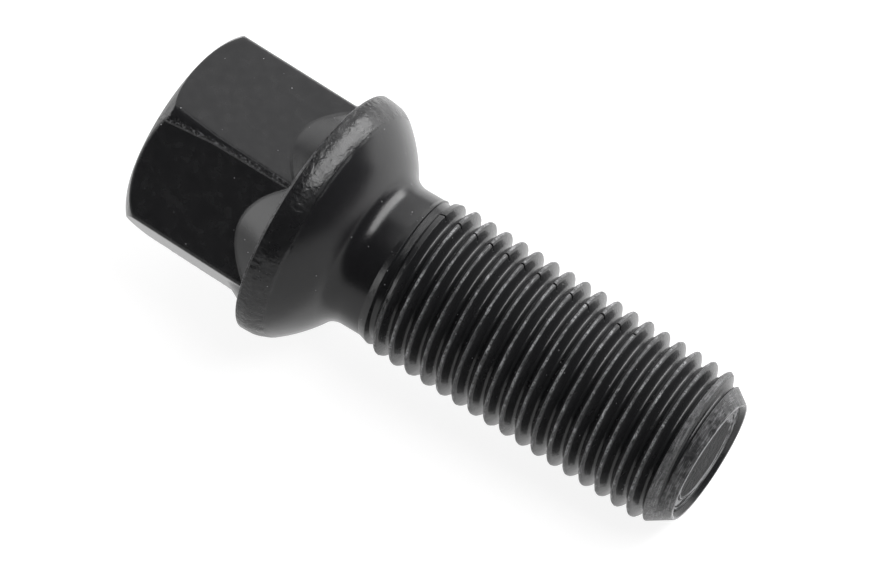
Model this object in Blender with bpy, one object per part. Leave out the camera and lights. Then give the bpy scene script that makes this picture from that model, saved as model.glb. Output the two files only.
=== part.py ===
"""Wheel bolt with a ball seat: one forged, turned and thread-rolled steel piece.

It stands on its head. The origin is the middle of the head's end face, and +Z runs along the
shank to the tip. Lengths are in metres, angles in radians.
"""
import math

import bmesh
import bpy
from mathutils import Matrix

# Facets of the round shapes
ROUND_STEPS = 40
ARC_STEPS = 6
CORNER_STEPS = 4
CROWN_STEPS = 7

# Hexagonal head
ACROSS_FLATS = 0.0170
HEX_CORNER_ROUND = 0.00105
HEAD_HEIGHT = 0.01273
CROWN_END_RADIUS = 0.0082
CROWN_ROUND = 0.00385
CROWN_START_ANGLE = math.radians(25.0)
CROWN_END_ANGLE = math.radians(58.5)

# Collar: a cone on its back that runs out on the flats, a rim band, and the ball seat
BACK_CONE_HEIGHT = 0.01007
BACK_CONE_HALF_ANGLE = math.radians(25.0)
BACK_LIP_HEIGHT = 0.0003
COLLAR_EDGE_RADIUS = 0.01083
RIM_RADIUS = 0.01079
RIM_WIDTH = 0.00105
RIM_ROUND = 0.0008
BALL_RADIUS = 0.0130

# Plain neck under the seat
NECK_RADIUS = 0.0063
NECK_FILLET = 0.00198
NECK_LENGTH = 0.0020

# Thread M14 x 1.5, right-handed, with worn crests
THREAD_PITCH = 0.0015
THREAD_CREST_RADIUS = 0.00686
THREAD_CREST_WIDTH = 0.0001875
THREAD_ROOT_RADIUS = 0.00597
THREAD_FLANK_ANGLE = math.radians(30.0)
THREAD_LENGTH = 0.0291
THREAD_CLOCKING = math.radians(85.0)
RUN_OUT_LENGTH = 0.0020
GROOVE_FADE_LENGTH = 0.0016

# Tip, dished by the thread rolling
CHAMFER_LENGTH = 0.0023
TIP_RADIUS = 0.00533
TIP_RIM_WIDTH = 0.0006
TIP_DISH_RADIUS = 0.0041
TIP_DISH_DEPTH = 0.00032

# How far one blank reaches into or past the next before they are joined or trimmed
OVERLAP = 0.0008

FINISH_COLOR = (0.016, 0.016, 0.018, 1.0)
FINISH_ROUGHNESS = 0.32
FINISH_METALLIC = 0.0
SMOOTH_ANGLE = math.radians(28.0)
WELD_DISTANCE = 1.0e-7
SCREW_WELD_DISTANCE = 1.0e-6


def arc(center, radius, start, end, steps):
    """Points (radius, height) along an arc, both ends included."""
    points = []
    for step in range(steps + 1):
        angle = start + (end - start) * step / steps
        points.append((center[0] + radius * math.cos(angle), center[1] + radius * math.sin(angle)))
    return points


def object_from(name, mesh_builder):
    """A scene object whose mesh is the given bmesh, with its faces turned outwards."""
    bmesh.ops.recalc_face_normals(mesh_builder, faces=mesh_builder.faces)
    mesh = bpy.data.meshes.new(name)
    mesh_builder.to_mesh(mesh)
    mesh_builder.free()
    solid = bpy.data.objects.new(name, mesh)
    bpy.context.scene.collection.objects.link(solid)
    return solid


def chain(mesh_builder, outline):
    """The outline's points joined by edges in the XZ plane, as the geometry that a spin takes."""
    verts = [mesh_builder.verts.new((radius, 0.0, height)) for radius, height in outline]
    edges = [mesh_builder.edges.new(pair) for pair in zip(verts, verts[1:])]
    return verts + edges


def turn(mesh_builder, angle):
    """Turns what is built so far about Z."""
    bmesh.ops.rotate(mesh_builder, verts=mesh_builder.verts, cent=(0.0, 0.0, 0.0),
                     matrix=Matrix.Rotation(angle, 3, "Z"))


def turned(name, outline):
    """A solid of revolution about Z, from an outline that starts and ends on the axis."""
    builder = bmesh.new()
    bmesh.ops.spin(builder, geom=chain(builder, outline), cent=(0.0, 0.0, 0.0), axis=(0.0, 0.0, 1.0),
                   angle=math.tau, steps=ROUND_STEPS)
    bmesh.ops.remove_doubles(builder, verts=builder.verts, dist=WELD_DISTANCE)
    return object_from(name, builder)


def combine(target, tool, operation):
    """Joins or trims the target with the tool, then takes the tool out of the scene."""
    modifier = target.modifiers.new(tool.name, "BOOLEAN")
    modifier.operation = operation
    modifier.solver = "EXACT"
    modifier.object = tool
    with bpy.context.temp_override(object=target, active_object=target, selected_objects=[target]):
        bpy.ops.object.modifier_apply(modifier=modifier.name)
    bpy.data.objects.remove(tool, do_unlink=True)


def rim_center():
    """Centre of the arc that rounds the rim into the ball seat, as (radius, height)."""
    return RIM_RADIUS - RIM_ROUND, HEAD_HEIGHT + RIM_WIDTH


def ball_center_height():
    """Height of the seat's ball centre, which lets the rim's arc touch the ball from inside."""
    radius, height = rim_center()
    return height - math.sqrt((BALL_RADIUS - RIM_ROUND) ** 2 - radius ** 2)


def neck_fillet_center():
    """Centre of the arc between the ball seat and the neck, as (radius, height)."""
    radius = NECK_RADIUS + NECK_FILLET
    rise = math.sqrt((BALL_RADIUS + NECK_FILLET) ** 2 - radius ** 2)
    return radius, ball_center_height() + rise


def thread_start():
    """Height at which the first thread rises from the neck."""
    return neck_fillet_center()[1] + NECK_LENGTH


def overall_length():
    """Height of the tip's rim above the head's end face."""
    return thread_start() + THREAD_LENGTH


def crown_outline():
    """Outline that the hexagon is trimmed to: an arc that leans up from the flat end face."""
    center = (CROWN_END_RADIUS - CROWN_ROUND * math.sin(CROWN_START_ANGLE),
              CROWN_ROUND * math.cos(CROWN_START_ANGLE))
    points = arc(center, CROWN_ROUND, CROWN_START_ANGLE - math.pi / 2.0,
                 CROWN_END_ANGLE - math.pi / 2.0, CROWN_STEPS)
    radius, height = points[-1]
    reach = radius + OVERLAP
    rise = OVERLAP * math.tan(CROWN_END_ANGLE)
    top = HEAD_HEIGHT + RIM_WIDTH
    return [(0.0, 0.0)] + points + [(reach, height + rise), (reach, top), (0.0, top)]


def hexagonal_head():
    """Hexagonal prism with rounded corners, two of them on the Y axis, under a rounded crown."""
    builder = bmesh.new()
    corner = ACROSS_FLATS / 2.0 / math.cos(math.pi / 6.0)
    base = bmesh.ops.create_circle(builder, cap_ends=True, segments=6, radius=corner)
    bmesh.ops.translate(builder, verts=base["verts"], vec=(0.0, 0.0, -OVERLAP))
    raised = bmesh.ops.extrude_face_region(builder, geom=builder.faces[:])
    lifted = [item for item in raised["geom"] if isinstance(item, bmesh.types.BMVert)]
    height = HEAD_HEIGHT + RIM_WIDTH / 2.0 + OVERLAP
    bmesh.ops.translate(builder, verts=lifted, vec=(0.0, 0.0, height))
    upright = [edge for edge in builder.edges if abs(edge.verts[0].co.z - edge.verts[1].co.z) > OVERLAP]
    bmesh.ops.bevel(builder, geom=upright, offset=HEX_CORNER_ROUND * math.tan(math.pi / 6.0),
                    segments=CORNER_STEPS, profile=0.5, affect="EDGES")
    head = object_from("head_blank", builder)
    combine(head, turned("crown_envelope", crown_outline()), "INTERSECT")
    return head


def collar_outline():
    """Outline of the collar, ball seat and neck, from inside the head to inside the thread."""
    slope = math.tan(BACK_CONE_HALF_ANGLE)
    half_flats = ACROSS_FLATS / 2.0
    lip_height = HEAD_HEIGHT - BACK_LIP_HEIGHT
    lip_radius = half_flats + (lip_height - BACK_CONE_HEIGHT) * slope
    inner_radius = half_flats - OVERLAP
    inner_height = BACK_CONE_HEIGHT - OVERLAP / slope
    points = [(0.0, inner_height), (inner_radius, inner_height), (lip_radius, lip_height),
              (COLLAR_EDGE_RADIUS, HEAD_HEIGHT)]

    ball = (0.0, ball_center_height())
    rim = rim_center()
    rim_end = math.atan2(rim[1] - ball[1], rim[0])
    points += arc(rim, RIM_ROUND, 0.0, rim_end, ARC_STEPS // 2)

    fillet = neck_fillet_center()
    ball_end = math.atan2(fillet[1] - ball[1], fillet[0])
    points += arc(ball, BALL_RADIUS, rim_end, ball_end, ARC_STEPS)[1:]
    points += arc(fillet, NECK_FILLET, ball_end + math.pi, math.pi, ARC_STEPS)[1:]

    fade = NECK_RADIUS - (THREAD_ROOT_RADIUS - OVERLAP)
    fade_height = GROOVE_FADE_LENGTH * fade / (NECK_RADIUS - THREAD_ROOT_RADIUS)
    points.append((NECK_RADIUS, thread_start()))
    points.append((NECK_RADIUS - fade, thread_start() + fade_height))
    points.append((0.0, thread_start() + fade_height))
    return points


def thread_outline(base_height):
    """One pitch of the thread's section, as (radius, height): root, flank, crest and flank."""
    flank = (THREAD_CREST_RADIUS - THREAD_ROOT_RADIUS) * math.tan(THREAD_FLANK_ANGLE)
    crest = THREAD_CREST_WIDTH
    root = THREAD_PITCH - crest - 2.0 * flank
    offsets = [(THREAD_ROOT_RADIUS, 0.0), (THREAD_ROOT_RADIUS, root), (THREAD_CREST_RADIUS, root + flank),
               (THREAD_CREST_RADIUS, root + flank + crest), (THREAD_ROOT_RADIUS, THREAD_PITCH)]
    return [(radius, base_height + rise) for radius, rise in offsets]


def close_end(builder, boundary, center_height):
    """Closes one open end of the helical skin with a fan to a point on the axis."""
    grown = bmesh.ops.extrude_edge_only(builder, edges=boundary)
    inner = [item for item in grown["geom"] if isinstance(item, bmesh.types.BMVert)]
    bmesh.ops.pointmerge(builder, verts=inner, merge_co=(0.0, 0.0, center_height))


def threaded_rod():
    """Endless right-handed thread: the section turned and lifted by one pitch in each turn."""
    base = thread_start() - 2.0 * THREAD_PITCH
    turns = math.ceil((overall_length() - base) / THREAD_PITCH) + 1
    builder = bmesh.new()
    section = chain(builder, thread_outline(base))
    turn(builder, THREAD_CLOCKING)
    bmesh.ops.spin(builder, geom=section, cent=(0.0, 0.0, 0.0), axis=(0.0, 0.0, 1.0),
                   dvec=(0.0, 0.0, THREAD_PITCH / ROUND_STEPS), angle=math.tau * turns,
                   steps=ROUND_STEPS * turns)
    bmesh.ops.remove_doubles(builder, verts=builder.verts, dist=SCREW_WELD_DISTANCE)
    middle = base + THREAD_PITCH * (turns + 1) / 2.0
    boundary = [edge for edge in builder.edges if edge.is_boundary]
    lower = [edge for edge in boundary if edge.verts[0].co.z < middle]
    upper = [edge for edge in boundary if edge.verts[0].co.z >= middle]
    close_end(builder, lower, base + THREAD_PITCH / 2.0)
    close_end(builder, upper, base + THREAD_PITCH * (turns + 0.5))
    return object_from("threaded_rod", builder)


def shank_outline():
    """Outline that the threaded rod is trimmed to: crests that fade in, a chamfer and a dished tip."""
    start = thread_start()
    end = overall_length()
    rise = (THREAD_CREST_RADIUS - NECK_RADIUS) / RUN_OUT_LENGTH
    reach = THREAD_CREST_RADIUS + OVERLAP
    inner = NECK_RADIUS - rise * OVERLAP
    chamfer = (THREAD_CREST_RADIUS - TIP_RADIUS) / CHAMFER_LENGTH
    return [(0.0, start - OVERLAP), (inner, start - OVERLAP),
            (reach, start + (reach - NECK_RADIUS) / rise),
            (reach, end - (reach - TIP_RADIUS) / chamfer),
            (TIP_RADIUS, end), (TIP_RADIUS - TIP_RIM_WIDTH, end),
            (TIP_DISH_RADIUS, end - TIP_DISH_DEPTH), (0.0, end - TIP_DISH_DEPTH)]


def threaded_shank():
    """The threaded rod, trimmed at both ends."""
    shank = threaded_rod()
    combine(shank, turned("shank_envelope", shank_outline()), "INTERSECT")
    return shank


def black_finish():
    """Thin black coating over forged steel, between satin and gloss."""
    material = bpy.data.materials.new("black_finish")
    material.use_nodes = True
    shader = material.node_tree.nodes["Principled BSDF"]
    shader.inputs["Base Color"].default_value = FINISH_COLOR
    shader.inputs["Roughness"].default_value = FINISH_ROUGHNESS
    shader.inputs["Metallic"].default_value = FINISH_METALLIC
    return material


def main():
    """Builds the bolt as one solid."""
    for leftover in list(bpy.data.objects):
        bpy.data.objects.remove(leftover, do_unlink=True)
    bolt = turned("wheel_bolt", collar_outline())
    combine(bolt, hexagonal_head(), "UNION")
    combine(bolt, threaded_shank(), "UNION")
    bolt.data.materials.clear()
    bolt.data.materials.append(black_finish())
    bolt.data.shade_smooth()
    bolt.data.set_sharp_from_angle(angle=SMOOTH_ANGLE)


main()
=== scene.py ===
"""Looks of a wheel bolt with a ball seat: a forged black-coated head and a rolled thread.

The bolt stands in the frame of its solid: origin in the middle of the head's end face, +Z along
the shank to the tip, two corners of the hexagon on the Y axis. Lengths are in metres.
"""

import logging
import math
from collections.abc import Callable, Sequence
from dataclasses import dataclass, field
from enum import Enum
from typing import Any

import bmesh
import bpy
from mathutils import Matrix, Vector

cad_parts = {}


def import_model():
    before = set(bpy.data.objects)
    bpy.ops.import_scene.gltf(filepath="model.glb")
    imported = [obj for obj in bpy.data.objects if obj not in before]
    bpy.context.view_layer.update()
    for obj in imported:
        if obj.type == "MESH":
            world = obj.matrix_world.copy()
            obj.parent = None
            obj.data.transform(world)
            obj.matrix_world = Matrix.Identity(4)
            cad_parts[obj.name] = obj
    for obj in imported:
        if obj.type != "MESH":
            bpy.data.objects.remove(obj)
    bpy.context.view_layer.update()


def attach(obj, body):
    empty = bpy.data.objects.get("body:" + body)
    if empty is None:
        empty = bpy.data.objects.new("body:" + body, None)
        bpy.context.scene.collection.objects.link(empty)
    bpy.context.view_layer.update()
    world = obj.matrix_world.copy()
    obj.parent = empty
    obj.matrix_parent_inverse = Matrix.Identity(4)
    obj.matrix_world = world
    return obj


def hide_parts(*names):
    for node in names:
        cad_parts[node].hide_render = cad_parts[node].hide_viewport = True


LOG = logging.getLogger("wheel_bolt")
SOLID = "wheel_bolt"
MM = 0.001
# Distances at which points count as in one plane, as in one place, and as one point
TOUCH = 0.001 * MM
NEAR = 0.01 * MM
WELD = 1.0e-7
THREAD_WELD = 1.0e-6
# Part of a face's normal along an axis from which the face counts as turned that way
TILTED = 0.5

Color = tuple[float, float, float, float]
Outline = list[tuple[float, float]]
Offsets = tuple[tuple[float, float], ...]


class Joining(Enum):
    """What a blank does to the piece that it meets."""

    ADD = "UNION"
    TRIM = "INTERSECT"
    CUT = "DIFFERENCE"


@dataclass(frozen=True)
class Lumps:
    """Unevenness of a surface: how far its highest and lowest points lie apart, and a lump's width."""

    depth: float
    grain: float


# Modelling by hand


def deselect_everything() -> None:
    """Leaves nothing selected, so that an operator acts only on what is picked next."""
    bpy.ops.object.select_all(action="DESELECT")


def make_active(piece: bpy.types.Object) -> None:
    """Selects one piece alone and makes it the active one.

    Args:
        piece: The piece that the next operators work on.
    """
    deselect_everything()
    piece.select_set(True)
    bpy.context.view_layer.objects.active = piece


def name_primitive(name: str) -> bpy.types.Object:
    """Names the primitive that was just added and stores its place in its mesh.

    Args:
        name: Name of the new object.

    Returns:
        The object, at the origin, unturned and unscaled.
    """
    blank = bpy.context.object
    blank.name = name
    bpy.ops.object.transform_apply(location=True, rotation=True, scale=True)
    return blank


def pick_points(piece: bpy.types.Object, wanted: Callable[[Vector], bool]) -> None:
    """Selects the points of the piece being edited that pass a test.

    Args:
        piece: The piece in edit mode.
        wanted: Takes a point and says whether it is picked.
    """
    bpy.ops.mesh.select_mode(type="VERT")
    bpy.ops.mesh.select_all(action="DESELECT")
    mesh = bmesh.from_edit_mesh(piece.data)
    for vertex in mesh.verts:
        vertex.select_set(wanted(vertex.co))
    mesh.select_flush_mode()
    bmesh.update_edit_mesh(piece.data)


def flat_reach(place: Vector) -> float:
    """Distance of a point from the axis, measured square to the nearest flat of the hexagon."""
    turns = (0.0, math.pi / 3.0, math.tau / 3.0)
    return max(abs(place.x * math.cos(turn) + place.y * math.sin(turn)) for turn in turns)


def pick_flats(piece: bpy.types.Object, distance: float) -> None:
    """Selects the faces of the piece being edited that lie in the hexagon's flats.

    Args:
        piece: The piece in edit mode.
        distance: Distance of the flats from the axis.
    """
    bpy.ops.mesh.select_mode(type="FACE")
    bpy.ops.mesh.select_all(action="DESELECT")
    mesh = bmesh.from_edit_mesh(piece.data)
    for face in mesh.faces:
        in_plane = all(flat_reach(vertex.co) > distance - TOUCH for vertex in face.verts)
        if in_plane and abs(face.normal.z) < TILTED:
            face.select_set(True)
    bmesh.update_edit_mesh(piece.data)


def face_outwards(piece: bpy.types.Object) -> None:
    """Merges doubled points and turns all faces of a closed piece outwards.

    Args:
        piece: The closed piece.
    """
    make_active(piece)
    bpy.ops.object.mode_set(mode="EDIT")
    bpy.ops.mesh.select_all(action="SELECT")
    bpy.ops.mesh.remove_doubles(threshold=WELD)
    bpy.ops.mesh.normals_make_consistent(inside=False)
    bpy.ops.object.mode_set(mode="OBJECT")


def arc(center: tuple[float, float], radius: float, start: float, end: float, steps: int) -> Outline:
    """Points along an arc of an outline, both ends included.

    Args:
        center: The arc's centre, as radius and height.
        radius: The arc's radius.
        start: Angle of its first point.
        end: Angle of its last point.
        steps: Number of straight pieces.

    Returns:
        The points, as radius and height.
    """
    angles = [start + (end - start) * step / steps for step in range(steps + 1)]
    return [(center[0] + radius * math.cos(a), center[1] + radius * math.sin(a)) for a in angles]


def near(place: tuple[float, float], offsets: Offsets) -> Outline:
    """Points of an outline that are given in millimetres from one of its places.

    Args:
        place: Radius and height of the place.
        offsets: How far out and how far up from the place each point lies.

    Returns:
        The points, as radius and height.
    """
    return [(place[0] + out * MM, place[1] + up * MM) for out, up in offsets]


def lathe(name: str, outline: Outline, steps: int) -> bpy.types.Object:
    """Turns a closed round blank: a disc that is extruded and scaled from ring to ring.

    Args:
        name: Name of the blank.
        outline: Radius and height of each ring, from one flat end to the other.
        steps: Facets around the axis.

    Returns:
        The blank.
    """
    deselect_everything()
    radius, height = outline[0]
    bpy.ops.mesh.primitive_circle_add(vertices=steps, radius=radius, fill_type="NGON",
                                      location=(0.0, 0.0, height))
    blank = name_primitive(name)
    bpy.ops.object.mode_set(mode="EDIT")
    bpy.ops.mesh.select_mode(type="FACE")
    bpy.ops.mesh.select_all(action="SELECT")
    for (inner, low), (outer, high) in zip(outline, outline[1:]):
        bpy.ops.mesh.extrude_region_move(TRANSFORM_OT_translate={"value": (0.0, 0.0, high - low)})
        growth = outer / inner
        bpy.ops.transform.resize(value=(growth, growth, 1.0), center_override=(0.0, 0.0, high))
    bpy.ops.object.mode_set(mode="OBJECT")
    face_outwards(blank)
    return blank


def join_blanks(piece: bpy.types.Object, blank: bpy.types.Object, how: Joining) -> None:
    """Adds a blank to a piece, trims the piece to it or cuts it out, and takes the blank away.

    Args:
        piece: The piece that stays.
        blank: The blank that is used up.
        how: Whether the blank is added, trims or cuts.
    """
    make_active(piece)
    cut = piece.modifiers.new(blank.name, "BOOLEAN")
    cut.operation = how.value
    cut.solver = "EXACT"
    cut.object = blank
    bpy.ops.object.modifier_apply(modifier=cut.name)
    bpy.data.objects.remove(blank, do_unlink=True)


def roughen(piece: bpy.types.Object, where: Callable[[Vector], float], lumps: Lumps) -> None:
    """Makes part of a piece uneven, as forging and rolling leave it.

    Args:
        piece: The piece.
        where: Share of the lumps' depth at a point, from 0 to 1.
        lumps: The unevenness.
    """
    make_active(piece)
    group = piece.vertex_groups.new(name="uneven")
    for vertex in piece.data.vertices:
        share = where(vertex.co)
        if share > 0.0:
            group.add([vertex.index], share, "REPLACE")
    pattern = bpy.data.textures.new(f"{piece.name}_lumps", "CLOUDS")
    pattern.noise_scale = lumps.grain
    shift = piece.modifiers.new("uneven", "DISPLACE")
    shift.texture = pattern
    shift.texture_coords = "LOCAL"
    shift.vertex_group = group.name
    shift.strength = lumps.depth
    shift.mid_level = 0.5
    bpy.ops.object.modifier_apply(modifier=shift.name)
    piece.vertex_groups.clear()


def smooth(piece: bpy.types.Object, angle: float) -> None:
    """Shades a piece smooth except across edges sharper than an angle.

    Args:
        piece: The piece.
        angle: Angle between faces from which an edge stays sharp.
    """
    make_active(piece)
    bpy.ops.object.shade_smooth_by_angle(angle=angle)


# Patterns, with lengths in millimetres


@dataclass(frozen=True)
class Span:
    """Levels at which a mask is 0 and 1. The second may lie below the first."""

    clear: float
    full: float


@dataclass(frozen=True)
class Grain:
    """Soft noise: the width of one patch, how many finer layers it has, and how distorted it is."""

    width: float
    detail: float = 2.0
    warp: float = 0.0


@dataclass(frozen=True)
class Patches:
    """Noise that is cut to patches: its grain, the levels that cut it, and the patches' strength."""

    grain: Grain
    span: Span
    strength: float = 1.0


@dataclass(frozen=True)
class Relief:
    """Small bumps: their grain, and their height in metres."""

    grain: Grain
    height: float


# Shader expressions


class Signal:
    """A shader socket that works in Python expressions, where each operator adds a Math node."""

    def __init__(self, shader: "NodeTree", socket: bpy.types.NodeSocket) -> None:
        """Keeps the socket and the shader that it belongs to."""
        self.shader = shader
        self.socket = socket

    def math(self, operation: str, *others: "Signal | float") -> "Signal":
        """The result of a Math node whose first input is this signal.

        Args:
            operation: The node's operation.
            others: The node's other inputs.

        Returns:
            The node's output.
        """
        return self.shader.calculate(operation, self, *others)

    def __add__(self, other: "Signal | float") -> "Signal":
        """This signal plus another."""
        return self.math("ADD", other)

    __radd__ = __add__

    def __sub__(self, other: "Signal | float") -> "Signal":
        """This signal less another."""
        return self.math("SUBTRACT", other)

    def __rsub__(self, other: float) -> "Signal":
        """A number less this signal."""
        return self.shader.calculate("SUBTRACT", other, self)

    def __mul__(self, other: "Signal | float") -> "Signal":
        """This signal times another."""
        return self.math("MULTIPLY", other)

    __rmul__ = __mul__

    def __abs__(self) -> "Signal":
        """This signal without its sign."""
        return self.math("ABSOLUTE")

    def highest(self, other: "Signal | float") -> "Signal":
        """The larger of this signal and another."""
        return self.math("MAXIMUM", other)

    def rise(self, span: Span, base: float = 0.0) -> "Signal":
        """A mask that goes smoothly from 0 to 1 between two levels of this signal.

        Args:
            span: The two levels.
            base: Level that they are measured from.

        Returns:
            The mask.
        """
        sockets = {"Value": self, "From Min": base + span.clear, "From Max": base + span.full}
        return self.shader.node("ShaderNodeMapRange", {"interpolation_type": "SMOOTHSTEP"}, sockets)


class NodeTree:
    """A node tree that is built from expressions."""

    def __init__(self, tree: bpy.types.NodeTree) -> None:
        """Keeps the tree."""
        self.tree = tree

    def node(self, kind: str, settings: dict[str, Any] | None = None,
             sockets: dict[str | int, Any] | None = None, output: str | int | None = 0) -> Signal | None:
        """Adds one node.

        Args:
            kind: The node's type.
            settings: The node's own settings, which are set first.
            sockets: A value or a signal for each input that is set.
            output: The output that is used, if there is one.

        Returns:
            The output as a signal, if there is one.
        """
        made = self.tree.nodes.new(kind)
        for setting, choice in (settings or {}).items():
            setattr(made, setting, choice)
        for socket, content in (sockets or {}).items():
            if isinstance(content, Signal):
                self.tree.links.new(content.socket, made.inputs[socket])
            else:
                made.inputs[socket].default_value = content
        return None if output is None else Signal(self, made.outputs[output])

    def calculate(self, operation: str, *operands: Signal | float) -> Signal:
        """The result of one Math node.

        Args:
            operation: The node's operation.
            operands: Its inputs.

        Returns:
            The node's output.
        """
        return self.node("ShaderNodeMath", {"operation": operation}, dict(enumerate(operands)))

    def blend(self, share: Signal, first: Signal, second: Signal) -> Signal:
        """Mixes two shaders.

        Args:
            share: Share of the second shader.
            first: The first shader.
            second: The second shader.

        Returns:
            The mixed shader.
        """
        return self.node("ShaderNodeMixShader", sockets={0: share, 1: first, 2: second})


class Shader(NodeTree):
    """A piece's material: coordinates in millimetres, patterns, and its Principled shader."""

    def __init__(self, name: str) -> None:
        """Starts a material that holds only its Principled shader."""
        self.material = bpy.data.materials.new(name)
        self.material.use_nodes = True
        super().__init__(self.material.node_tree)
        self.surface = self.tree.nodes["Principled BSDF"]
        place = self.node("ShaderNodeTexCoord", output="Object")
        self.place = self.node("ShaderNodeVectorMath", {"operation": "SCALE"}, {0: place, "Scale": 1.0 / MM})
        self.x = self.node("ShaderNodeSeparateXYZ", sockets={0: self.place}, output="X")
        self.y = self.node("ShaderNodeSeparateXYZ", sockets={0: self.place}, output="Y")
        self.z = self.node("ShaderNodeSeparateXYZ", sockets={0: self.place}, output="Z")
        self.radius = (self.x * self.x + self.y * self.y).math("SQRT")
        self.turn = self.y.math("ARCTAN2", self.x)

    def noise(self, grain: Grain, place: Signal | None = None) -> Signal:
        """Soft noise from 0 to 1.

        Args:
            grain: The noise's grain.
            place: Coordinates in millimetres, if not the piece's own.

        Returns:
            The noise.
        """
        sockets = {"Vector": place or self.place, "Scale": 1.0 / grain.width, "Detail": grain.detail,
                   "Distortion": grain.warp}
        return self.node("ShaderNodeTexNoise", sockets=sockets)

    def patches(self, kind: Patches, place: Signal | None = None) -> Signal:
        """Patches of noise, 0 between them.

        Args:
            kind: The patches' grain, levels and strength.
            place: Coordinates in millimetres, if not the piece's own.

        Returns:
            The patches.
        """
        return self.noise(kind.grain, place).rise(kind.span) * kind.strength

    def specks(self, spacing: float, size: Span) -> Signal:
        """Small round specks, such as settled dust.

        Args:
            spacing: Distance between neighbours in millimetres.
            size: Distances from a speck's middle at which it ends and is full.

        Returns:
            1 on a speck and 0 elsewhere.
        """
        distance = self.node("ShaderNodeTexVoronoi", {"feature": "F1"},
                             {"Vector": self.place, "Scale": 1.0 / spacing, "Randomness": 1.0}, "Distance")
        return (distance * spacing).rise(size)

    def mix(self, share: Signal, first: Sequence[float] | Signal, second: Sequence[float] | Signal) -> Signal:
        """Blends two colours.

        Args:
            share: Share of the second colour.
            first: The first colour.
            second: The second colour.

        Returns:
            The blend.
        """
        settings = {"data_type": "RGBA", "clamp_factor": True}
        return self.node("ShaderNodeMix", settings, {0: share, 6: first, 7: second}, 2)

    def bump(self, pattern: Signal, height: float, below: Signal) -> Signal:
        """A normal tilted by a pattern.

        Args:
            pattern: The pattern, from 0 to 1.
            height: Height of the pattern in metres.
            below: Normal of the coarser shape that it lies on.

        Returns:
            The normal.
        """
        sockets = {"Height": pattern, "Distance": height, "Strength": 1.0, "Normal": below}
        return self.node("ShaderNodeBump", sockets=sockets)

    def relief(self, kind: Relief, below: Signal, where: Signal | None = None) -> Signal:
        """A normal tilted by small bumps.

        Args:
            kind: The bumps' grain and height.
            below: Normal of the coarser shape that they lie on.
            where: 1 where the bumps are full, if they aren't all over the piece.

        Returns:
            The normal.
        """
        pattern = self.noise(kind.grain)
        return self.bump(pattern if where is None else pattern * where, kind.height, below)

    def soften(self, radius: float) -> Signal:
        """A normal that rounds the piece's edges.

        Args:
            radius: Radius of the rounding in metres.

        Returns:
            The normal.
        """
        return self.node("ShaderNodeBevel", {"samples": 8}, {"Radius": radius})

    def set(self, socket: str, content: Any) -> None:
        """Sets or links one input of the Principled shader.

        Args:
            socket: The input's name.
            content: A number, a colour or a signal.
        """
        if isinstance(content, Signal):
            self.tree.links.new(content.socket, self.surface.inputs[socket])
        else:
            self.surface.inputs[socket].default_value = content


# Finishes


@dataclass(frozen=True)
class BluntCorner:
    """Rounding of a blunt corner, in millimetres: it narrows fast from the head's end, then slowly."""

    end_round: float = 1.77
    end_slope: float = -0.22
    collar_round: float = 0.80
    collar_slope: float = -0.0375

    def radius(self, height: float) -> float:
        """Radius in metres at a height in metres."""
        z = height / MM
        return MM * max(self.end_round + self.end_slope * z, self.collar_round + self.collar_slope * z)

    def side(self, shader: Shader) -> Signal:
        """Distance of the rounding's border from the middle of the corner."""
        fast = shader.z * (self.end_slope / 2.0) + self.end_round / 2.0
        slow = shader.z * (self.collar_slope / 2.0) + self.collar_round / 2.0
        return fast.highest(slow)

    def bend(self) -> float:
        """Height at which the rounding begins to narrow slowly."""
        return MM * (self.end_round - self.collar_round) / (self.collar_slope - self.end_slope)


@dataclass(frozen=True)
class BlackCoat:
    """Thin black coating over steel, between satin and gloss, with dust on it."""

    color: Color = (0.010, 0.010, 0.011, 1.0)
    # Lighter coat colour: coating that is rubbed through, and a painted highlight on the head's corner lines
    wear_and_highlight_color: Color = (0.19, 0.19, 0.20, 1.0)
    dust_color: Color = (0.36, 0.36, 0.37, 1.0)
    roughness: float = 0.24
    ior: float = 1.5
    speck_spacing: float = 0.85
    speck_size: Span = Span(0.06, 0.024)
    dusty: Patches = Patches(Grain(2.5), Span(0.46, 0.56))

    def begin(self, name: str) -> Shader:
        """Starts a material that has the coating's constant values.

        Args:
            name: The material's name.

        Returns:
            The material's shader.
        """
        shader = Shader(name)
        shader.set("IOR", self.ior)
        shader.set("Metallic", 0.0)
        return shader

    def colored(self, shader: Shader, wear_and_highlight: Signal, coat: Signal) -> None:
        """Colours the coating, with wear, painted highlights and dust.

        Args:
            shader: The material's shader.
            wear_and_highlight: 1 where the coating is rubbed through, and where a highlight is painted.
            coat: The coating's colour.
        """
        dust = shader.specks(self.speck_spacing, self.speck_size) * shader.patches(self.dusty)
        # The lighter colour goes where the coat is worn and where a highlight is painted
        paler = shader.mix(wear_and_highlight, coat, self.wear_and_highlight_color)
        shader.set("Base Color", shader.mix(dust, paler, self.dust_color))


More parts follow.
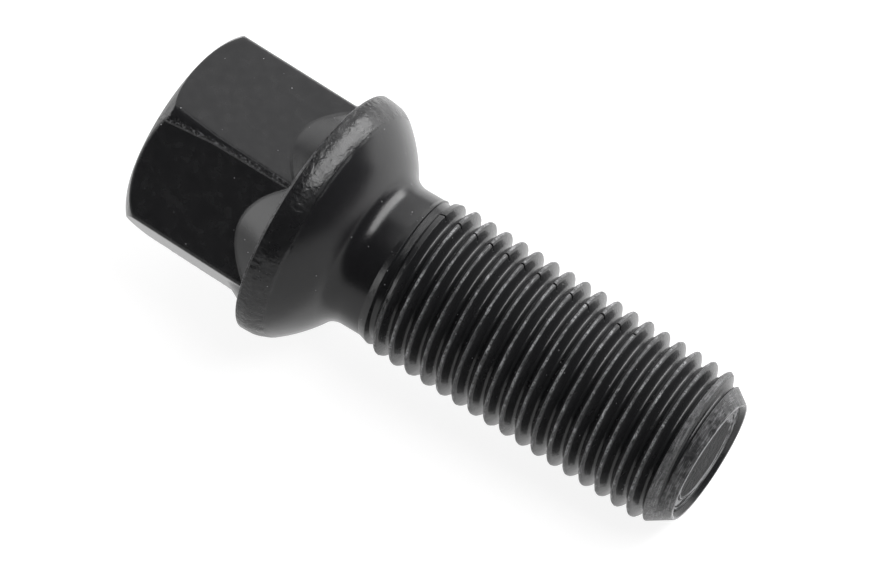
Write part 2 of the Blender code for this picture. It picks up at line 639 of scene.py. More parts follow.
@dataclass(frozen=True)
class ForgedFinish(BlackCoat):
    """The coating over the forged head: smooth flats, crinkled corners and rim."""

    roughness: float = 0.21
    haze_color: Color = (0.017, 0.017, 0.018, 1.0)
    corner: BluntCorner = BluntCorner()
    corner_line: Span = Span(0.26, 0.05)
    corner_share: float = 0.4
    flat_distance: float = 8.5
    flat_skin: Span = Span(-0.05, -0.01)
    head_top: float = 12.6
    head_end: Span = Span(0.0, -0.4)
    collar_offset: float = 0.05
    cone_start: float = 10.07
    cone_slope: float = math.tan(math.radians(25.0))
    crease_width: Span = Span(0.10, 0.0)
    crease_height: float = 0.00003
    edge: float = 12.75
    edge_width: Span = Span(0.13, 0.04)
    edge_reach: Span = Span(10.5, 10.6)
    rim_start: Span = Span(0.1, 0.3)
    rim_top: float = 14.98
    rim_end: Span = Span(0.2, -0.1)
    low_rim: Span = Span(1.4, 0.6)
    # Painted highlight: light patches of the lighter coat colour along each blunt corner's crinkled line
    line_highlight: Patches = Patches(Grain(0.22, 3.0), Span(0.52, 0.68), 0.6)
    rim_wear: Patches = Patches(Grain(0.22, 3.0), Span(0.66, 0.80), 0.2)
    edge_wear: Patches = Patches(Grain(0.5, 4.0), Span(0.35, 0.62), 0.45)
    haze: Patches = Patches(Grain(0.9, 5.0, 0.4), Span(0.30, 0.80))
    cloudiness: Grain = Grain(0.9)
    cloudy_roughness: float = 0.06
    crinkled_roughness: float = 0.04
    soft_edge: float = 0.0003
    waves: Relief = Relief(Grain(3.2, 1.0), 0.00003)
    rim_lumps: Relief = Relief(Grain(1.5, 2.0, 0.3), 0.00008)
    rim_grain: Relief = Relief(Grain(0.4, 3.0, 0.5), 0.00004)
    rim_crinkle: Relief = Relief(Grain(0.7, 4.0, 0.6), 0.00010)
    corner_crinkle: Relief = Relief(Grain(0.34, 3.0, 0.4), 0.00011)
    coat_grain: Relief = Relief(Grain(0.13), 0.000006)

    def on_flats(self, shader: Shader) -> Signal:
        """Mask of the hexagon's flats.

        Args:
            shader: The material's shader.

        Returns:
            The mask.
        """
        half_x = shader.x * math.sin(math.pi / 6.0)
        side_y = shader.y * math.cos(math.pi / 6.0)
        reach = abs(shader.x).highest(abs(half_x + side_y)).highest(abs(half_x - side_y))
        return reach.rise(self.flat_skin, self.flat_distance)

    def on_corner_line(self, shader: Shader) -> Signal:
        """Mask of the crinkled line along one side of each blunt corner of the hexagon, which also gets a
        painted highlight.

        Args:
            shader: The material's shader.

        Returns:
            The mask.
        """
        third = math.tau / 3.0
        from_corner = (shader.turn + math.tau + third / 4.0).math("MODULO", third) - third / 2.0
        aside = shader.radius * from_corner.math("SINE")
        return abs(aside - self.corner.side(shader)).rise(self.corner_line)

    def on_crease(self, shader: Shader) -> Signal:
        """Mask of the line where the collar's cone runs out on the flats.

        Args:
            shader: The material's shader.

        Returns:
            The mask.
        """
        aside = shader.x - self.collar_offset
        from_axis = (aside * aside + shader.y * shader.y).math("SQRT")
        cone_base = self.flat_distance - self.cone_start * self.cone_slope
        return abs(from_axis - (shader.z * self.cone_slope + cone_base)).rise(self.crease_width)

    def material(self) -> bpy.types.Material:
        """Builds the material.

        Returns:
            The material.
        """
        shader = self.begin("forged_black_coat")
        on_head = shader.z.rise(self.head_end, self.head_top)
        on_flat = self.on_flats(shader) * on_head
        line = self.on_corner_line(shader) * on_head
        crease = self.on_crease(shader) * on_head
        on_edge = abs(shader.z - self.edge).rise(self.edge_width) * shader.radius.rise(self.edge_reach)
        on_rim = shader.z.rise(self.rim_start, self.head_top) * shader.z.rise(self.rim_end, self.rim_top)
        low_rim = on_rim * shader.z.rise(self.low_rim, self.edge)

        # Painted highlight on the corner lines; real wear on the rim and on the collar's edge
        wear_and_highlight = line * shader.patches(self.line_highlight) + on_rim * shader.patches(self.rim_wear)
        wear_and_highlight = wear_and_highlight + on_edge * shader.patches(self.edge_wear)
        haze = shader.patches(self.haze) * on_flat
        self.colored(shader, wear_and_highlight, shader.mix(haze, self.color, self.haze_color))
        crinkled = (1.0 - on_flat) * on_head * self.corner_share + line
        cloudy = shader.noise(self.cloudiness) * self.cloudy_roughness
        shader.set("Roughness", self.roughness + cloudy + (crinkled + on_rim) * self.crinkled_roughness)
        normal = shader.relief(self.waves, shader.soften(self.soft_edge))
        normal = shader.relief(self.rim_lumps, normal, on_rim)
        normal = shader.relief(self.rim_grain, normal, on_rim)
        normal = shader.relief(self.rim_crinkle, normal, low_rim)
        normal = shader.relief(self.corner_crinkle, normal, crinkled)
        normal = shader.bump(crease, self.crease_height, normal)
        shader.set("Normal", shader.relief(self.coat_grain, normal))
        return shader.material


@dataclass(frozen=True)
class RolledFinish(BlackCoat):
    """The coating over the rolled thread, rubbed and speckled along its crests and in its tip."""

    color: Color = (0.014, 0.014, 0.015, 1.0)
    wear_and_highlight_color: Color = (0.36, 0.36, 0.37, 1.0)
    blotch_color: Color = (0.060, 0.060, 0.062, 1.0)
    crest: Span = Span(6.81, 6.86)
    tip: float = 50.36
    tip_radius: float = 5.33
    chamfer_slope: float = (6.86 - 5.33) / 2.3
    chamfer_skin: Span = Span(-0.06, -0.02)
    chamfer_reach: Span = Span(-2.3, -2.0)
    cut_crest: Span = Span(6.0, 6.25)
    cut_crest_wear: float = 0.25
    cup_depth: Span = Span(-0.55, -0.50)
    cup: Span = Span(4.88, 4.83)
    ring: float = 4.13
    ring_width: Span = Span(0.85, 0.5)
    lip: float = 5.23
    lip_width: Span = Span(0.16, 0.05)
    rubbed: Patches = Patches(Grain(0.13, 3.0), Span(0.36, 0.60))
    least_rubbed: float = 0.18
    more_rubbed: Patches = Patches(Grain(1.1, 3.0), Span(0.40, 0.66), 0.75)
    blotches: Patches = Patches(Grain(0.45, 5.0, 0.5), Span(0.35, 0.65))
    tip_streaks: Patches = Patches(Grain(0.9, 4.0, 0.8), Span(0.42, 0.54), 0.9)
    scratches: Patches = Patches(Grain(0.35, 4.0, 0.3), Span(0.52, 0.62), 0.25)
    streak_shape: tuple[float, float, float] = (2.0, 3.0, 3.0)
    cloudiness: Grain = Grain(0.7)
    cloudy_roughness: float = 0.05
    crest_roughness: float = 0.18
    cup_roughness: float = 0.55
    chamfer_roughness: float = 0.1
    soft_edge: float = 0.00008
    waves: Relief = Relief(Grain(0.42), 0.00002)
    crest_grain: Relief = Relief(Grain(0.13, 3.0), 0.00004)
    chamfer_grain: Relief = Relief(Grain(0.5, 3.0, 0.8), 0.00007)
    cup_grain: Relief = Relief(Grain(1.1, 5.0, 1.2), 0.0004)

    def material(self) -> bpy.types.Material:
        """Builds the material.

        Returns:
            The material.
        """
        shader = self.begin("rolled_black_coat")
        from_cone = shader.radius - ((self.tip - shader.z) * self.chamfer_slope + self.tip_radius)
        on_cone = from_cone.rise(self.chamfer_skin)
        on_chamfer = on_cone * shader.z.rise(self.chamfer_reach, self.tip)
        on_cut_crest = on_cone * shader.radius.rise(self.cut_crest)
        on_crest = shader.radius.rise(self.crest)
        at_tip = shader.z.rise(self.cup_depth, self.tip)
        in_cup = shader.radius.rise(self.cup) * at_tip
        in_ring = abs(shader.radius - self.ring).rise(self.ring_width) * in_cup
        on_lip = abs(shader.radius - self.lip).rise(self.lip_width) * at_tip

        around = self.around(shader)
        rubbed = shader.patches(self.rubbed) * (self.least_rubbed + shader.patches(self.more_rubbed))
        paler = on_crest.highest(on_cut_crest * self.cut_crest_wear) * rubbed
        paler = paler + (in_ring + on_lip) * shader.patches(self.tip_streaks, around)
        paler = paler + on_chamfer * shader.patches(self.scratches, around)
        blotches = shader.patches(self.blotches) * on_chamfer
        self.colored(shader, paler, shader.mix(blotches, self.color, self.blotch_color))
        rough = on_crest * self.crest_roughness + in_cup * self.cup_roughness
        rough = rough + on_chamfer * self.chamfer_roughness
        cloudy = shader.noise(self.cloudiness) * self.cloudy_roughness
        shader.set("Roughness", self.roughness + rough + cloudy)
        normal = shader.relief(self.waves, shader.soften(self.soft_edge))
        normal = shader.relief(self.crest_grain, normal, on_crest.highest(on_cut_crest))
        normal = shader.relief(self.chamfer_grain, normal, on_chamfer)
        normal = shader.relief(self.cup_grain, normal, in_cup)
        shader.set("Normal", normal)
        return shader.material

    def around(self, shader: Shader) -> Signal:
        """Coordinates that are short around the axis, so that patterns on them are drawn out that way.

        Args:
            shader: The material's shader.

        Returns:
            The coordinates.
        """
        lengths = zip("XYZ", (shader.turn, shader.radius, shader.z), self.streak_shape)
        sockets = {axis: part * scale for axis, part, scale in lengths}
        return shader.node("ShaderNodeCombineXYZ", sockets=sockets)


# The bolt's pieces


@dataclass
class SeatNeck:
    """Round surfaces of the collar: cone on its back, rim band, ball seat, fillet and neck.

    The rim band is given from the collar's widest edge. Its last ring is just short of the ridge where
    the seat begins, and a short first piece of the seat keeps that ridge crisp.
    """

    half_flats: float = 0.0085
    cone_start: float = 0.01007
    cone_half_angle: float = math.radians(25.0)
    lip_height: float = 0.0003
    edge_radius: float = 0.01083
    edge_height: float = 0.01273
    ridge_height: float = 0.01504
    offset: float = 0.00005
    ball_radius: float = 0.0130
    ball_height: float = 0.007063
    neck_radius: float = 0.0063
    neck_fillet: float = 0.00198
    neck_start: float = 0.0197
    neck_end: float = 0.02126
    fade_depth: float = 0.0011
    fade_length: float = 0.0053
    overlap: float = 0.8 * MM
    rim_band: Offsets = (
        (-0.03, -0.04), (0.0, 0.0), (-0.01, 0.4), (-0.04, 0.8), (-0.08, 1.15), (-0.16, 1.45), (-0.28, 1.75),
        (-0.42, 2.05), (-0.545, 2.27),
    )
    ridge_turn: float = 0.003
    ball_gap: float = 0.02
    ball_steps: int = 20
    fillet_steps: int = 14

    def outline(self) -> Outline:
        """Outline from inside the head to inside the thread.

        Returns:
            Radius and height of each ring.
        """
        slope = math.tan(self.cone_half_angle)
        inner = self.half_flats - self.overlap
        lip_height = self.edge_height - self.lip_height
        lip_radius = self.half_flats + (lip_height - self.cone_start) * slope
        points = [(inner, self.cone_start - self.overlap / slope), (lip_radius, lip_height)]
        points += near((self.edge_radius, self.edge_height), self.rim_band)
        ball = (0.0, self.ball_height)
        ball_start = math.asin((self.ridge_height - self.ball_height) / self.ball_radius)
        fillet_radius = self.neck_radius + self.neck_fillet
        reach = self.ball_radius + self.neck_fillet
        fillet_height = self.ball_height + math.sqrt(reach ** 2 - fillet_radius ** 2)
        ball_end = math.atan2(fillet_height - self.ball_height, fillet_radius)
        points += arc(ball, self.ball_radius, ball_start, ball_start + self.ridge_turn, 1)
        points += arc(ball, self.ball_radius, ball_start + self.ball_gap, ball_end, self.ball_steps)
        turn_end = ball_end + math.pi
        fillet = arc((fillet_radius, fillet_height), self.neck_fillet, turn_end, math.pi, self.fillet_steps)
        points += fillet[1:]
        points += [(self.neck_radius, self.neck_end)]
        points += [(self.neck_radius - self.fade_depth, self.neck_end + self.fade_length)]
        return points


@dataclass
class ForgedHead:
    """Hexagonal head under a domed crown, grown together with the collar and its ball seat.

    Three corners are blunt and narrow towards the collar, and the three between them are sharp. Each flat
    has two narrow borders, so that the shading of its middle stays flat beside the rounded corners.
    """

    across_flats: float = 0.0170
    low: float = -0.0006
    high: float = 0.0133
    sharp_rounds: tuple[float, float, float] = (0.0006, 0.0008, 0.0004)
    corner: BluntCorner = BluntCorner()
    corner_steps: int = 8
    corner_skin: float = 0.02 * MM
    corner_lumps: Lumps = Lumps(0.20 * MM, 0.30 * MM)
    calm_share: float = 0.25
    length_cuts: int = 55
    flat_borders: tuple[float, float] = (0.2 * MM, 0.05 * MM)
    crown_squeeze: float = 0.982
    crown_end_radius: float = 0.0082
    crown_round: float = 0.00385
    crown_start: float = math.radians(25.0)
    crown_finish: float = math.radians(58.5)
    crown_steps: int = 20
    crown_clearance: float = 0.4 * MM
    crown_flare: float = 0.8 * MM
    crown_reach: float = 0.3 * MM
    rim_lumps: Lumps = Lumps(0.14 * MM, 1.3 * MM)
    sharp_from: float = math.radians(24.0)
    steps: int = 192
    collar: SeatNeck = field(default_factory=SeatNeck)
    finish: ForgedFinish = field(default_factory=ForgedFinish)

    def ring(self, height: float) -> bpy.types.Object:
        """Hexagonal outline whose corners are blunt and sharp by turns.

        Args:
            height: Its height.

        Returns:
            The outline.
        """
        reach = self.across_flats / 2.0 / math.cos(math.pi / 6.0)
        sharp = iter(self.sharp_rounds)
        deselect_everything()
        bpy.ops.mesh.primitive_circle_add(vertices=6, radius=reach, fill_type="NOTHING",
                                          location=(0.0, 0.0, height))
        outline = name_primitive("bolt_head")
        bpy.ops.object.mode_set(mode="EDIT")
        for corner in range(6):
            turn = math.pi * (2 * corner + 1) / 6.0
            place = Vector((reach * math.cos(turn), reach * math.sin(turn), height))
            pick_points(outline, lambda point, place=place: (point - place).length < NEAR)
            rounding = next(sharp) if corner % 2 else self.corner.radius(height)
            bpy.ops.mesh.bevel(offset=rounding * math.tan(math.pi / 6.0), segments=self.corner_steps,
                               affect="VERTICES")
        bpy.ops.object.mode_set(mode="OBJECT")
        return outline

    def hexagon(self) -> bpy.types.Object:
        """Prism whose blunt corners get sharper towards the collar, finely divided along them.

        Returns:
            The prism.
        """
        outlines = [self.ring(height) for height in (self.low, self.corner.bend(), self.high)]
        prism = outlines[0]
        make_active(prism)
        for outline in outlines:
            outline.select_set(True)
        bpy.ops.object.join()
        bpy.ops.object.mode_set(mode="EDIT")
        bpy.ops.mesh.select_all(action="SELECT")
        bpy.ops.mesh.bridge_edge_loops(number_cuts=self.length_cuts)
        bpy.ops.mesh.select_all(action="SELECT")
        bpy.ops.mesh.fill_holes(sides=0)
        bpy.ops.object.mode_set(mode="OBJECT")
        face_outwards(prism)
        bpy.ops.object.mode_set(mode="EDIT")
        pick_flats(prism, self.across_flats / 2.0)
        for border in self.flat_borders:
            bpy.ops.mesh.inset(thickness=border)
        bpy.ops.object.mode_set(mode="OBJECT")
        return prism

    def crown(self) -> bpy.types.Object:
        """Round blank that domes the end of the head.

        Returns:
            The blank.
        """
        center = (self.crown_end_radius - self.crown_round * math.sin(self.crown_start),
                  self.crown_round * math.cos(self.crown_start))
        first = self.crown_start - math.pi / 2.0
        last = self.crown_finish - math.pi / 2.0
        points = arc(center, self.crown_round, first, last, self.crown_steps)
        radius, height = points[-1]
        clear = radius + self.crown_clearance
        points += [(clear, height + self.crown_flare), (clear, self.collar.edge_height + self.crown_reach)]
        crown = lathe("crown", points, self.steps)
        bpy.ops.object.mode_set(mode="EDIT")
        bpy.ops.mesh.select_all(action="SELECT")
        bpy.ops.transform.resize(value=(self.crown_squeeze, 1.0, 1.0),
                                 center_override=(-self.crown_end_radius, 0.0, 0.0))
        bpy.ops.object.mode_set(mode="OBJECT")
        return crown

    def uneven_corner(self, place: Vector) -> float:
        """Share of the forging's unevenness at a point of the prism.

        Args:
            place: The point.

        Returns:
            1 along one side of each blunt corner, less on the rest of it, and 0 elsewhere.
        """
        corner = self.corner.radius(place.z)
        third = math.tau / 3.0
        from_corner = (math.atan2(place.y, place.x) + third / 4.0) % third - third / 2.0
        aside = math.hypot(place.x, place.y) * math.sin(from_corner)
        if abs(from_corner) > third / 4.0 or abs(aside) > corner / 2.0 + self.corner_skin:
            return 0.0
        return 1.0 if aside > corner / 4.0 else self.calm_share

    def uneven_rim(self, place: Vector) -> float:
        """Share of the forging's unevenness at a point of the collar: full on its rim band."""
        above = place.z > self.collar.edge_height + NEAR
        return 1.0 if above and place.z < self.collar.ridge_height + NEAR else 0.0

    def build(self) -> bpy.types.Object:
        """Builds and dresses the head.

        Returns:
            The finished piece.
        """
        head = self.hexagon()
        roughen(head, self.uneven_corner, self.corner_lumps)
        join_blanks(head, self.crown(), Joining.TRIM)
        collar = lathe("collar", self.collar.outline(), self.steps)
        bpy.ops.object.mode_set(mode="EDIT")
        pick_points(collar, lambda point: point.z < self.collar.neck_start)
        bpy.ops.transform.translate(value=(self.collar.offset, 0.0, 0.0))
        bpy.ops.object.mode_set(mode="OBJECT")
        roughen(collar, self.uneven_rim, self.rim_lumps)
        join_blanks(head, collar, Joining.ADD)
        face_outwards(head)
        smooth(head, self.sharp_from)
        head.data.materials.clear()
        head.data.materials.append(self.finish.material())
        return head


@dataclass
class RolledShank:
    """Right-hand thread with rounded crests and roots, a run-out, a chamfer and a dished tip.

    The curves and edges are given from the corners that they round. The bulge of the dish is given as
    shares of its radius and depth, and its middle as a radius and a share of its depth.
    """

    pitch: float = 0.0015
    crest_radius: float = 0.00686
    root_radius: float = 0.00597
    flank_angle: float = math.radians(30.0)
    start: float = 0.02126
    length: float = 0.0291
    clocking: float = math.radians(85.0)
    run_out: float = 0.0020
    neck_radius: float = 0.0063
    chamfer: float = 0.0023
    tip_radius: float = 0.00533
    rim_width: float = 0.00028
    cup_radius: float = 0.00492
    cup_depth: float = 0.00042
    seam_turn: float = math.radians(-136.0)
    seam_depth: float = 0.00055
    seam_width: float = 0.00034
    seam_length: float = 0.019
    seam_lead: float = 0.4
    seam_taper: float = 0.3
    seam_cuts: int = 7
    root_curve: Offsets = ((0.035, 0.0), (0.14, 0.10))
    root_floor: float = 0.22
    crest_curve: Offsets = (
        (-0.30, -0.285), (-0.17, -0.222), (-0.08, -0.165), (-0.025, -0.10), (-0.003, -0.04),
    )
    crest_depth: float = 0.2 * MM
    crest_lumps: Lumps = Lumps(0.06 * MM, 0.5 * MM)
    spare_turns: int = 2
    overlap: float = 0.8 * MM
    tip_edge: Offsets = ((0.05, -0.08), (-0.02, -0.01), (-0.10, 0.0))
    lip_edge: Offsets = ((0.06, -0.01), (0.0, -0.05))
    cup_edge: Offsets = ((0.0, 0.06), (-0.08, 0.0), (-0.8, 0.0))
    cup_bulge: tuple[float, float] = (0.4, 0.86)
    cup_middle: tuple[float, float] = (0.3 * MM, 0.8)
    sharp_from: float = math.radians(38.0)
    trim_steps: int = 160
    steps: int = 120
    finish: RolledFinish = field(default_factory=RolledFinish)

    def end(self) -> float:
        """Height of the tip's rim."""
        return self.start + self.length

    def root_width(self) -> float:
        """Width of the root, between two flanks and crests of an eighth of the pitch."""
        flank = (self.crest_radius - self.root_radius) * math.tan(self.flank_angle)
        return self.pitch - self.pitch / 8.0 - 2.0 * flank

    def section(self) -> Outline:
        """One pitch of the thread: half a root, a flank, the crest, a flank and half a root.

        Returns:
            Radius and height above the section's start.
        """
        root = self.root_width()
        half = [(self.root_radius, root * self.root_floor)]
        half += near((self.root_radius, root / 2.0), self.root_curve)
        half += near((self.crest_radius, self.pitch / 2.0), self.crest_curve)
        mirrored = [(radius, self.pitch - height) for radius, height in reversed(half)]
        return [(self.root_radius, 0.0)] + half + mirrored + [(self.root_radius, self.pitch)]

    def rod(self) -> bpy.types.Object:
        """Endless thread: the section, screwed up the axis and closed at both ends.

        Returns:
            The rod.
        """
        base = self.start - self.spare_turns * self.pitch + self.root_width() / 2.0
        turns = math.ceil((self.end() - base) / self.pitch) + 1
        section = self.section()
        deselect_everything()
        bpy.ops.mesh.primitive_plane_add(size=self.pitch, location=(section[0][0], 0.0, base))
        rod = name_primitive("bolt_shank")
        bpy.ops.object.mode_set(mode="EDIT")
        bpy.ops.mesh.select_all(action="SELECT")
        bpy.ops.mesh.merge(type="CENTER")
        bpy.ops.mesh.select_mode(type="VERT")
        bpy.ops.mesh.select_all(action="SELECT")
        for (inner, low), (outer, high) in zip(section, section[1:]):
            step = (outer - inner, 0.0, high - low)
            bpy.ops.mesh.extrude_region_move(TRANSFORM_OT_translate={"value": step})
        bpy.ops.object.mode_set(mode="OBJECT")

        screw = rod.modifiers.new("thread", "SCREW")
        screw.axis = "Z"
        screw.angle = math.tau
        screw.screw_offset = self.pitch
        screw.iterations = turns
        screw.steps = self.steps
        screw.render_steps = self.steps
        screw.use_merge_vertices = True
        screw.merge_threshold = THREAD_WELD
        bpy.ops.object.modifier_apply(modifier=screw.name)
        rod.data.transform(Matrix.Rotation(self.clocking, 4, "Z"))
        middle = base + self.pitch * (turns + 1) / 2.0
        bpy.ops.object.mode_set(mode="EDIT")
        bpy.ops.mesh.select_all(action="SELECT")
        bpy.ops.mesh.remove_doubles(threshold=THREAD_WELD)
        for at_tip in (False, True):
            self.close_end(rod, middle, at_tip)
        bpy.ops.object.mode_set(mode="OBJECT")
        face_outwards(rod)
        return rod

    def close_end(self, rod: bpy.types.Object, middle: float, at_tip: bool) -> None:
        """Closes one open end of the rod with a fan.

        Args:
            rod: The rod in edit mode.
            middle: Height that parts the two ends.
            at_tip: Whether it is the upper end.
        """
        bpy.ops.mesh.select_mode(type="EDGE")
        bpy.ops.mesh.select_all(action="DESELECT")
        mesh = bmesh.from_edit_mesh(rod.data)
        for edge in mesh.edges:
            if edge.is_boundary and (edge.verts[0].co.z > middle) == at_tip:
                edge.select_set(True)
        mesh.select_flush_mode()
        bmesh.update_edit_mesh(rod.data)
        bpy.ops.mesh.extrude_edges_move(TRANSFORM_OT_translate={"value": (0.0, 0.0, 0.0)})
        bpy.ops.mesh.merge(type="CENTER")

    def envelope(self) -> bpy.types.Object:
        """Round blank that trims the rod: crests that rise from the neck, a chamfer and a dish.

        Returns:
            The blank.
        """
        end = self.end()
        rise = (self.crest_radius - self.neck_radius) / self.run_out
        reach = self.crest_radius + self.overlap
        slope = (self.crest_radius - self.tip_radius) / self.chamfer
        floor = end - self.cup_depth
        points = [
            (self.neck_radius - rise * self.overlap, self.start - self.overlap),
            (reach, self.start + (reach - self.neck_radius) / rise),
            (reach, end - (reach - self.tip_radius) / slope),
        ]
        points += near((self.tip_radius, end), self.tip_edge)
        points += near((self.tip_radius - self.rim_width, end), self.lip_edge)
        points += near((self.cup_radius, floor), self.cup_edge)
        points += [(self.cup_radius * self.cup_bulge[0], end - self.cup_depth * self.cup_bulge[1])]
        points += [(self.cup_middle[0], end - self.cup_depth * self.cup_middle[1])]
        return lathe("envelope", points, self.trim_steps)

    def seam(self) -> bpy.types.Object:
        """Thin wedge along the thread, which nicks every crest where the rolling began.

        Returns:
            The blank.
        """
        middle = self.start + self.seam_length / 2.0 + self.pitch * self.seam_lead
        deselect_everything()
        bpy.ops.mesh.primitive_cube_add(size=1.0, location=(self.crest_radius, 0.0, middle),
                                        scale=(2.0 * self.seam_depth, self.seam_width, self.seam_length))
        wedge = name_primitive("seam")
        bpy.ops.object.mode_set(mode="EDIT")
        bpy.ops.mesh.select_mode(type="FACE")
        bpy.ops.mesh.select_all(action="DESELECT")
        mesh = bmesh.from_edit_mesh(wedge.data)
        for face in mesh.faces:
            face.select_set(face.normal.x < -TILTED)
        bmesh.update_edit_mesh(wedge.data)
        bpy.ops.transform.resize(value=(1.0, self.seam_taper, 1.0), center_override=(0.0, 0.0, middle))
        bpy.ops.mesh.select_all(action="SELECT")
        bpy.ops.mesh.subdivide(number_cuts=self.seam_cuts)
        bpy.ops.object.mode_set(mode="OBJECT")
        wedge.data.transform(Matrix.Rotation(self.seam_turn, 4, "Z"))
        return wedge

    def uneven_crest(self, place: Vector) -> float:
        """Share of the rolling's unevenness at a point of the rod: full on the crests."""
        return 1.0 if math.hypot(place.x, place.y) > self.crest_radius - self.crest_depth else 0.0

    def build(self) -> bpy.types.Object:
        """Builds and dresses the shank.

        Returns:
            The finished piece.
        """
        shank = self.rod()
        roughen(shank, self.uneven_crest, self.crest_lumps)
        join_blanks(shank, self.seam(), Joining.CUT)
        join_blanks(shank, self.envelope(), Joining.TRIM)
        face_outwards(shank)
        smooth(shank, self.sharp_from)
        shank.data.materials.clear()
        shank.data.materials.append(self.finish.material())
        return shank


# The studio


@dataclass(frozen=True)
class Softbox:
    """A flat soft lamp or lit wall, placed from the bolt's middle by the table's directions, in degrees."""

    name: str
    turn: float
    rise: float
    distance: float
    width: float
    height: float
    level: float
    spin: float = 0.0


@dataclass
class Studio:
    """Camera, white table, soft lamps and surroundings, set out as in the photograph.

    The bolt lies on its side there. The solid's frame is kept, so the table leans against it.
    """

    distance: float = 0.441305
    azimuth: float = math.radians(4.5)
    elevation: float = 0.223477
    roll: float = 2.135630
    aim_height: float = 0.0248985
    aim_aside: float = 0.00019325
    lens: float = 228.63
    sensor: float = 36.0
    nearest: float = 0.01
    table_size: float = 3.0
    table_tilt: float = math.radians(55.2)
    paint: Color = (0.86, 0.86, 0.86, 1.0)
    glow_share: float = 0.65
    glow_seen: float = 1.33
    glow_near: float = 0.70
    glow_far: float = 1.82
    glow_under: float = 1.3
    glow_rise: Span = Span(-0.012, 0.04)
    under_front: Span = Span(-0.013, -0.009)
    under_back: Span = Span(0.0, -0.004)
    bolt_turn: float = math.radians(34.0)
    room: Color = (0.04, 0.04, 0.04, 1.0)
    white: Color = (1.0, 1.0, 1.0, 1.0)
    softboxes: tuple[Softbox, ...] = (
        Softbox("back_wall", 10.0, 36.0, 0.60, 0.80, 0.72, 0.93),
        Softbox("low_back_wall", -18.0, 15.0, 0.55, 0.44, 0.26, 0.5),
        Softbox("left_wall", -72.0, 15.0, 0.62, 0.80, 0.44, 2.8),
        Softbox("right_wall", 62.0, 2.0, 0.62, 0.50, 0.20, 1.6),
        Softbox("lamp", 70.0, 50.0, 0.50, 0.25, 0.90, 6.5, 38.5),
    )

    def axes(self) -> tuple[Vector, Vector, Vector]:
        """The picture's directions.

        Returns:
            Right and up in the picture, and towards the camera.
        """
        flat = Vector((math.sin(self.azimuth), -math.cos(self.azimuth), 0.0))
        towards = flat * math.cos(self.elevation) + Vector((0.0, 0.0, math.sin(self.elevation)))
        aside = Vector((math.cos(self.azimuth), math.sin(self.azimuth), 0.0))
        upward = towards.cross(aside)
        right = aside * math.cos(self.roll) + upward * math.sin(self.roll)
        up = upward * math.cos(self.roll) - aside * math.sin(self.roll)
        return right, up, towards

    def table_axes(self) -> tuple[Vector, Vector, Vector]:
        """The table's directions.

        Returns:
            Right, away from the camera, and up from the table.
        """
        right, up, towards = self.axes()
        normal = up * math.cos(self.table_tilt) + towards * math.sin(self.table_tilt)
        far = up * math.sin(self.table_tilt) - towards * math.cos(self.table_tilt)
        return right, far, normal

    def aim(self) -> Vector:
        """The point that the camera and the lamps look at."""
        aside = Vector((math.cos(self.azimuth), math.sin(self.azimuth), 0.0))
        return aside * self.aim_aside + Vector((0.0, 0.0, self.aim_height))

    def place_camera(self) -> None:
        """Adds the camera at the photograph's place, turned as it was held."""
        right, up, towards = self.axes()
        data = bpy.data.cameras.new("camera")
        data.lens = self.lens
        data.sensor_width = self.sensor
        data.clip_start = self.nearest
        camera = bpy.data.objects.new("camera", data)
        pose = Matrix((right, up, towards)).transposed().to_4x4()
        pose.translation = self.aim() + towards * self.distance
        camera.matrix_world = pose
        bpy.context.scene.collection.objects.link(camera)
        bpy.context.scene.camera = camera

    def place_table(self, pieces: list[bpy.types.Object]) -> None:
        """Adds the white table, which touches the lowest side of the lying bolt.

        Args:
            pieces: The bolt's dressed pieces.
        """
        right, far, normal = self.table_axes()
        lowest = min(vertex.co.dot(normal) for piece in pieces for vertex in piece.data.vertices)
        middle = self.aim() + normal * (lowest - self.aim().dot(normal))
        deselect_everything()
        bpy.ops.mesh.primitive_plane_add(size=self.table_size)
        table = bpy.context.object
        table.name = "table"
        pose = Matrix((right, far, normal)).transposed().to_4x4()
        pose.translation = middle
        table.matrix_world = pose
        bpy.ops.object.transform_apply(location=True, rotation=True, scale=True)
        table.data.materials.append(self.table_material())

    def table_material(self) -> bpy.types.Material:
        """White, shown at full strength to the camera, keeping the shadow, and clear from below.

        Returns:
            The material.
        """
        material = bpy.data.materials.new("white_table")
        material.use_nodes = True
        material.node_tree.nodes.clear()
        tree = NodeTree(material.node_tree)
        seen = tree.node("ShaderNodeLightPath", output="Is Camera Ray")
        mirrored = tree.node("ShaderNodeLightPath", output="Is Glossy Ray")
        behind = tree.node("ShaderNodeNewGeometry", output="Backfacing")
        place = tree.node("ShaderNodeNewGeometry", output="Position")
        right, far, _ = self.table_axes()
        across = far * math.cos(self.bolt_turn) + right * math.sin(self.bolt_turn)
        away = tree.node("ShaderNodeVectorMath", {"operation": "DOT_PRODUCT"}, {0: place, 1: across}, "Value")
        glow = self.glow_near + (self.glow_far - self.glow_near) * away.rise(self.glow_rise)
        under = away.rise(self.under_front) * away.rise(self.under_back)
        glow = glow + (self.glow_under - self.glow_near) * under
        glow = seen * self.glow_seen + (1.0 - seen) * glow
        paint = tree.node("ShaderNodeBsdfDiffuse", sockets={"Color": self.paint})
        lit = tree.node("ShaderNodeEmission", sockets={"Strength": glow})
        shown = tree.blend(seen.highest(mirrored) * self.glow_share, paint, lit)
        clear = tree.node("ShaderNodeBsdfTransparent")
        surface = tree.blend(behind * seen, shown, clear)
        tree.node("ShaderNodeOutputMaterial", sockets={0: surface}, output=None)
        return material

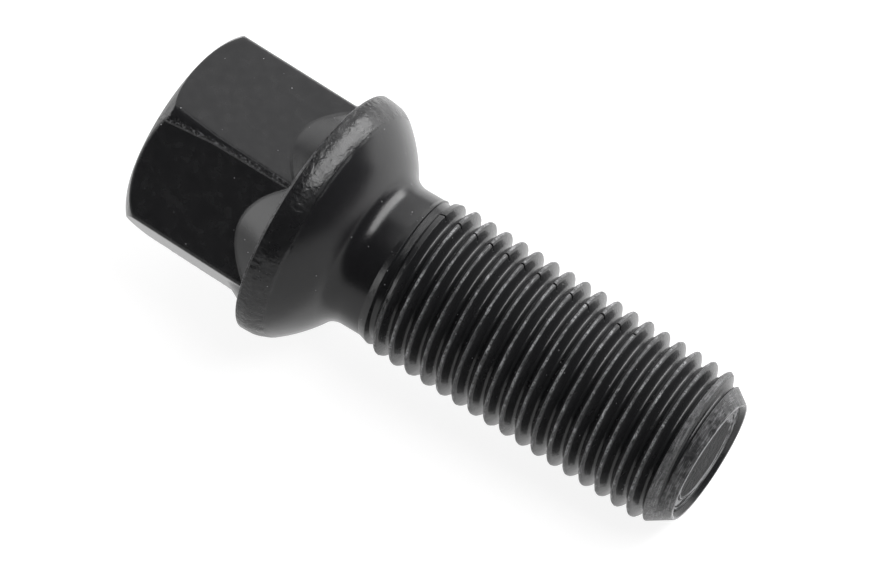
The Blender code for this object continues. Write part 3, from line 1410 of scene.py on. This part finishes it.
    def hang_lamps(self) -> None:
        """Adds the soft lamps, each turned to the bolt."""
        right, far, normal = self.table_axes()
        for box in self.softboxes:
            data = bpy.data.lights.new(box.name, "AREA")
            data.shape = "RECTANGLE"
            data.size = box.width
            data.size_y = box.height
            data.energy = box.level * math.pi * box.width * box.height
            lamp = bpy.data.objects.new(box.name, data)
            turn, rise = math.radians(box.turn), math.radians(box.rise)
            level = far * math.cos(turn) + right * math.sin(turn)
            back = level * math.cos(rise) + normal * math.sin(rise)
            across = normal.cross(back).normalized()
            pose = Matrix((across, back.cross(across), back)).transposed().to_4x4()
            pose = pose @ Matrix.Rotation(math.radians(box.spin), 4, "Z")
            pose.translation = self.aim() + back * box.distance
            lamp.matrix_world = pose
            lamp.visible_camera = False
            bpy.context.scene.collection.objects.link(lamp)

    def surround(self) -> None:
        """White surroundings for the camera, and a dim room for the lamps' light."""
        world = bpy.data.worlds.new("room")
        bpy.context.scene.world = world
        world.use_nodes = True
        world.node_tree.nodes.clear()
        tree = NodeTree(world.node_tree)
        seen = tree.node("ShaderNodeLightPath", output="Is Camera Ray")
        dim = tree.node("ShaderNodeBackground", sockets={"Color": self.room})
        white = tree.node("ShaderNodeBackground", sockets={"Color": self.white})
        tree.node("ShaderNodeOutputWorld", sockets={0: tree.blend(seen, dim, white)}, output=None)

    def set_up(self, pieces: list[bpy.types.Object]) -> None:
        """Sets up the whole studio.

        Args:
            pieces: The bolt's dressed pieces.
        """
        self.place_camera()
        self.place_table(pieces)
        self.hang_lamps()
        self.surround()
        bpy.context.scene.view_settings.view_transform = "Standard"


def main() -> None:
    """Loads the frame, builds and dresses the bolt's pieces, and sets up the studio."""
    logging.basicConfig(level=logging.INFO, format="%(name)s: %(message)s")
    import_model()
    pieces = [maker.build() for maker in (ForgedHead(), RolledShank())]
    for piece in pieces:
        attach(piece, "root")
        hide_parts(SOLID)
        LOG.info("%s has %d faces", piece.name, len(piece.data.polygons))
    Studio().set_up(pieces)


if __name__ == "__main__":
    main()
